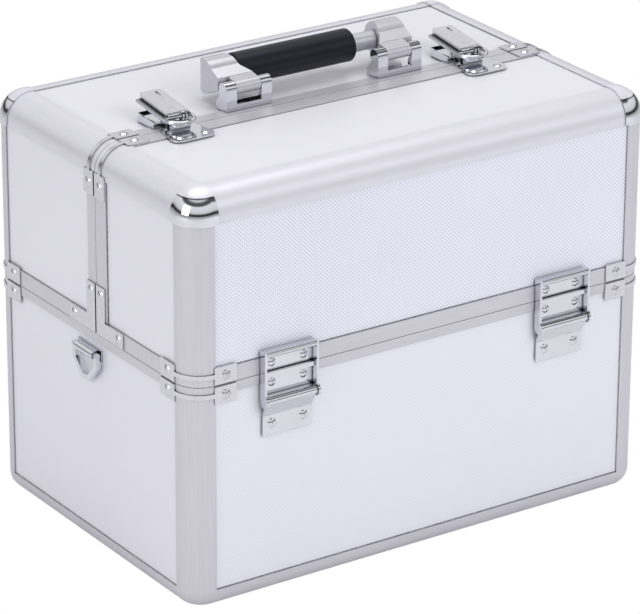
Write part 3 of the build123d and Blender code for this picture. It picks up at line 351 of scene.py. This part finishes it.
plain = bpy.data.materials.new("mat_floor")
plain.use_nodes = True
tree = plain.node_tree
diffuse = tree.nodes["Principled BSDF"]
diffuse.inputs["Base Color"].default_value = (0.82, 0.82, 0.83, 1)
diffuse.inputs["Roughness"].default_value = 0.9
glow = tree.nodes.new("ShaderNodeEmission")
glow.inputs["Color"].default_value = (1, 1, 1, 1)
path = tree.nodes.new("ShaderNodeLightPath")
blend = tree.nodes.new("ShaderNodeMixShader")
tree.links.new(path.outputs["Is Camera Ray"], blend.inputs[0])
tree.links.new(diffuse.outputs[0], blend.inputs[1])
tree.links.new(glow.outputs[0], blend.inputs[2])
tree.links.new(blend.outputs[0], tree.nodes["Material Output"].inputs[0])
floor.data.materials.append(plain)

SKY = 0.62              # strength of the soft sky
MIRROR_SKY = 1.0        # and of the screens that mirror rays see
world = bpy.data.worlds.new("studio")
scene.world = world
world.use_nodes = True
tree = world.node_tree
sky = tree.nodes["Background"]
sky.inputs["Strength"].default_value = SKY
white = tree.nodes.new("ShaderNodeBackground")
white.inputs["Color"].default_value = (1, 1, 1, 1)
coords = tree.nodes.new("ShaderNodeTexCoord")
split = tree.nodes.new("ShaderNodeSeparateXYZ")
tree.links.new(coords.outputs["Generated"], split.inputs[0])
band = tree.nodes.new("ShaderNodeValToRGB")
band.color_ramp.elements[0].position = 0.0
band.color_ramp.elements[0].color = (0.55, 0.55, 0.57, 1)
band.color_ramp.elements[1].position = 1.0
band.color_ramp.elements[1].color = (1.0, 1.0, 1.03, 1)
for spot, level in ((0.46, 0.62), (0.50, 0.16), (0.56, 0.30), (0.63, 0.92)):
    stop = band.color_ramp.elements.new(spot)
    stop.color = (level, level, level * 1.02, 1)
lift = tree.nodes.new("ShaderNodeMapRange")
lift.inputs[1].default_value = -1.0
lift.inputs[2].default_value = 1.0
tree.links.new(split.outputs[2], lift.inputs[0])
tree.links.new(lift.outputs[0], band.inputs[0])
tree.links.new(band.outputs[0], sky.inputs["Color"])
path = tree.nodes.new("ShaderNodeLightPath")
# mirror rays see a studio with dark gaps between its screens
screens = tree.nodes.new("ShaderNodeValToRGB")
screens.color_ramp.elements[0].position = 0.0
screens.color_ramp.elements[0].color = (0.5, 0.5, 0.52, 1)
screens.color_ramp.elements[1].position = 1.0
screens.color_ramp.elements[1].color = (0.35, 0.35, 0.37, 1)
for spot, level in ((0.49, 0.45), (0.52, 0.03), (0.57, 0.05), (0.62, 0.75), (0.72, 0.9),
                    (0.80, 0.95), (0.84, 0.10), (0.90, 0.12), (0.94, 0.8)):
    stop = screens.color_ramp.elements.new(spot)
    stop.color = (level, level, level * 1.02, 1)
tree.links.new(lift.outputs[0], screens.inputs[0])
mirror_sky = tree.nodes.new("ShaderNodeBackground")
mirror_sky.inputs["Strength"].default_value = MIRROR_SKY
tree.links.new(screens.outputs[0], mirror_sky.inputs["Color"])
gloss = tree.nodes.new("ShaderNodeMixShader")
tree.links.new(path.outputs["Is Glossy Ray"], gloss.inputs[0])
tree.links.new(sky.outputs[0], gloss.inputs[1])
tree.links.new(mirror_sky.outputs[0], gloss.inputs[2])
pick = tree.nodes.new("ShaderNodeMixShader")
tree.links.new(path.outputs["Is Camera Ray"], pick.inputs[0])
tree.links.new(gloss.outputs[0], pick.inputs[1])
tree.links.new(white.outputs[0], pick.inputs[2])
tree.links.new(pick.outputs[0], tree.nodes["World Output"].inputs[0])


def softbox(name, place, target, width, height, power):
    lamp = bpy.data.lights.new(name, "AREA")
    lamp.shape = "RECTANGLE"
    lamp.size = width
    lamp.size_y = height
    lamp.energy = power
    holder = bpy.data.objects.new(name, lamp)
    scene.collection.objects.link(holder)
    holder.location = place
    holder.rotation_mode = "QUATERNION"
    holder.rotation_quaternion = (Vector(target) - Vector(place)).to_track_quat("-Z", "Y")
    return holder


key = softbox("key", (0.6, -1.9, 1.5), (0, 0, 0.15), 1.4, 1.0, 22.0)
key.visible_glossy = False
softbox("left", (-1.9, -0.3, 0.9), (0, 0, 0.15), 1.0, 1.2, 10.5)
softbox("top", (0.1, 0.3, 2.0), (0, 0, 0.25), 1.6, 1.2, 13.0)

LENS = 233.16           # millimetres, on a sensor 36 mm wide
CAMERA_AT = (-1.4805, -2.1816, 1.2434)
camera = bpy.data.cameras.new("camera")
camera.sensor_width = 36.0
camera.lens = LENS
holder = bpy.data.objects.new("camera", camera)
scene.collection.objects.link(holder)
scene.camera = holder
AZIMUTH = math.radians(-34.16)
ELEVATION = math.radians(22.76)
ROLL = math.radians(0.27)
back = Vector((math.sin(AZIMUTH) * math.cos(ELEVATION), -math.cos(AZIMUTH) * math.cos(ELEVATION),
               math.sin(ELEVATION)))
holder.rotation_mode = "QUATERNION"
turn = (-back).to_track_quat("-Z", "Y")
holder.rotation_quaternion = turn @ Matrix.Rotation(ROLL, 3, "Z").to_quaternion()
holder.location = CAMERA_AT
camera.clip_start = 0.1
camera.clip_end = 20.0

scene.view_settings.view_transform = "Standard"
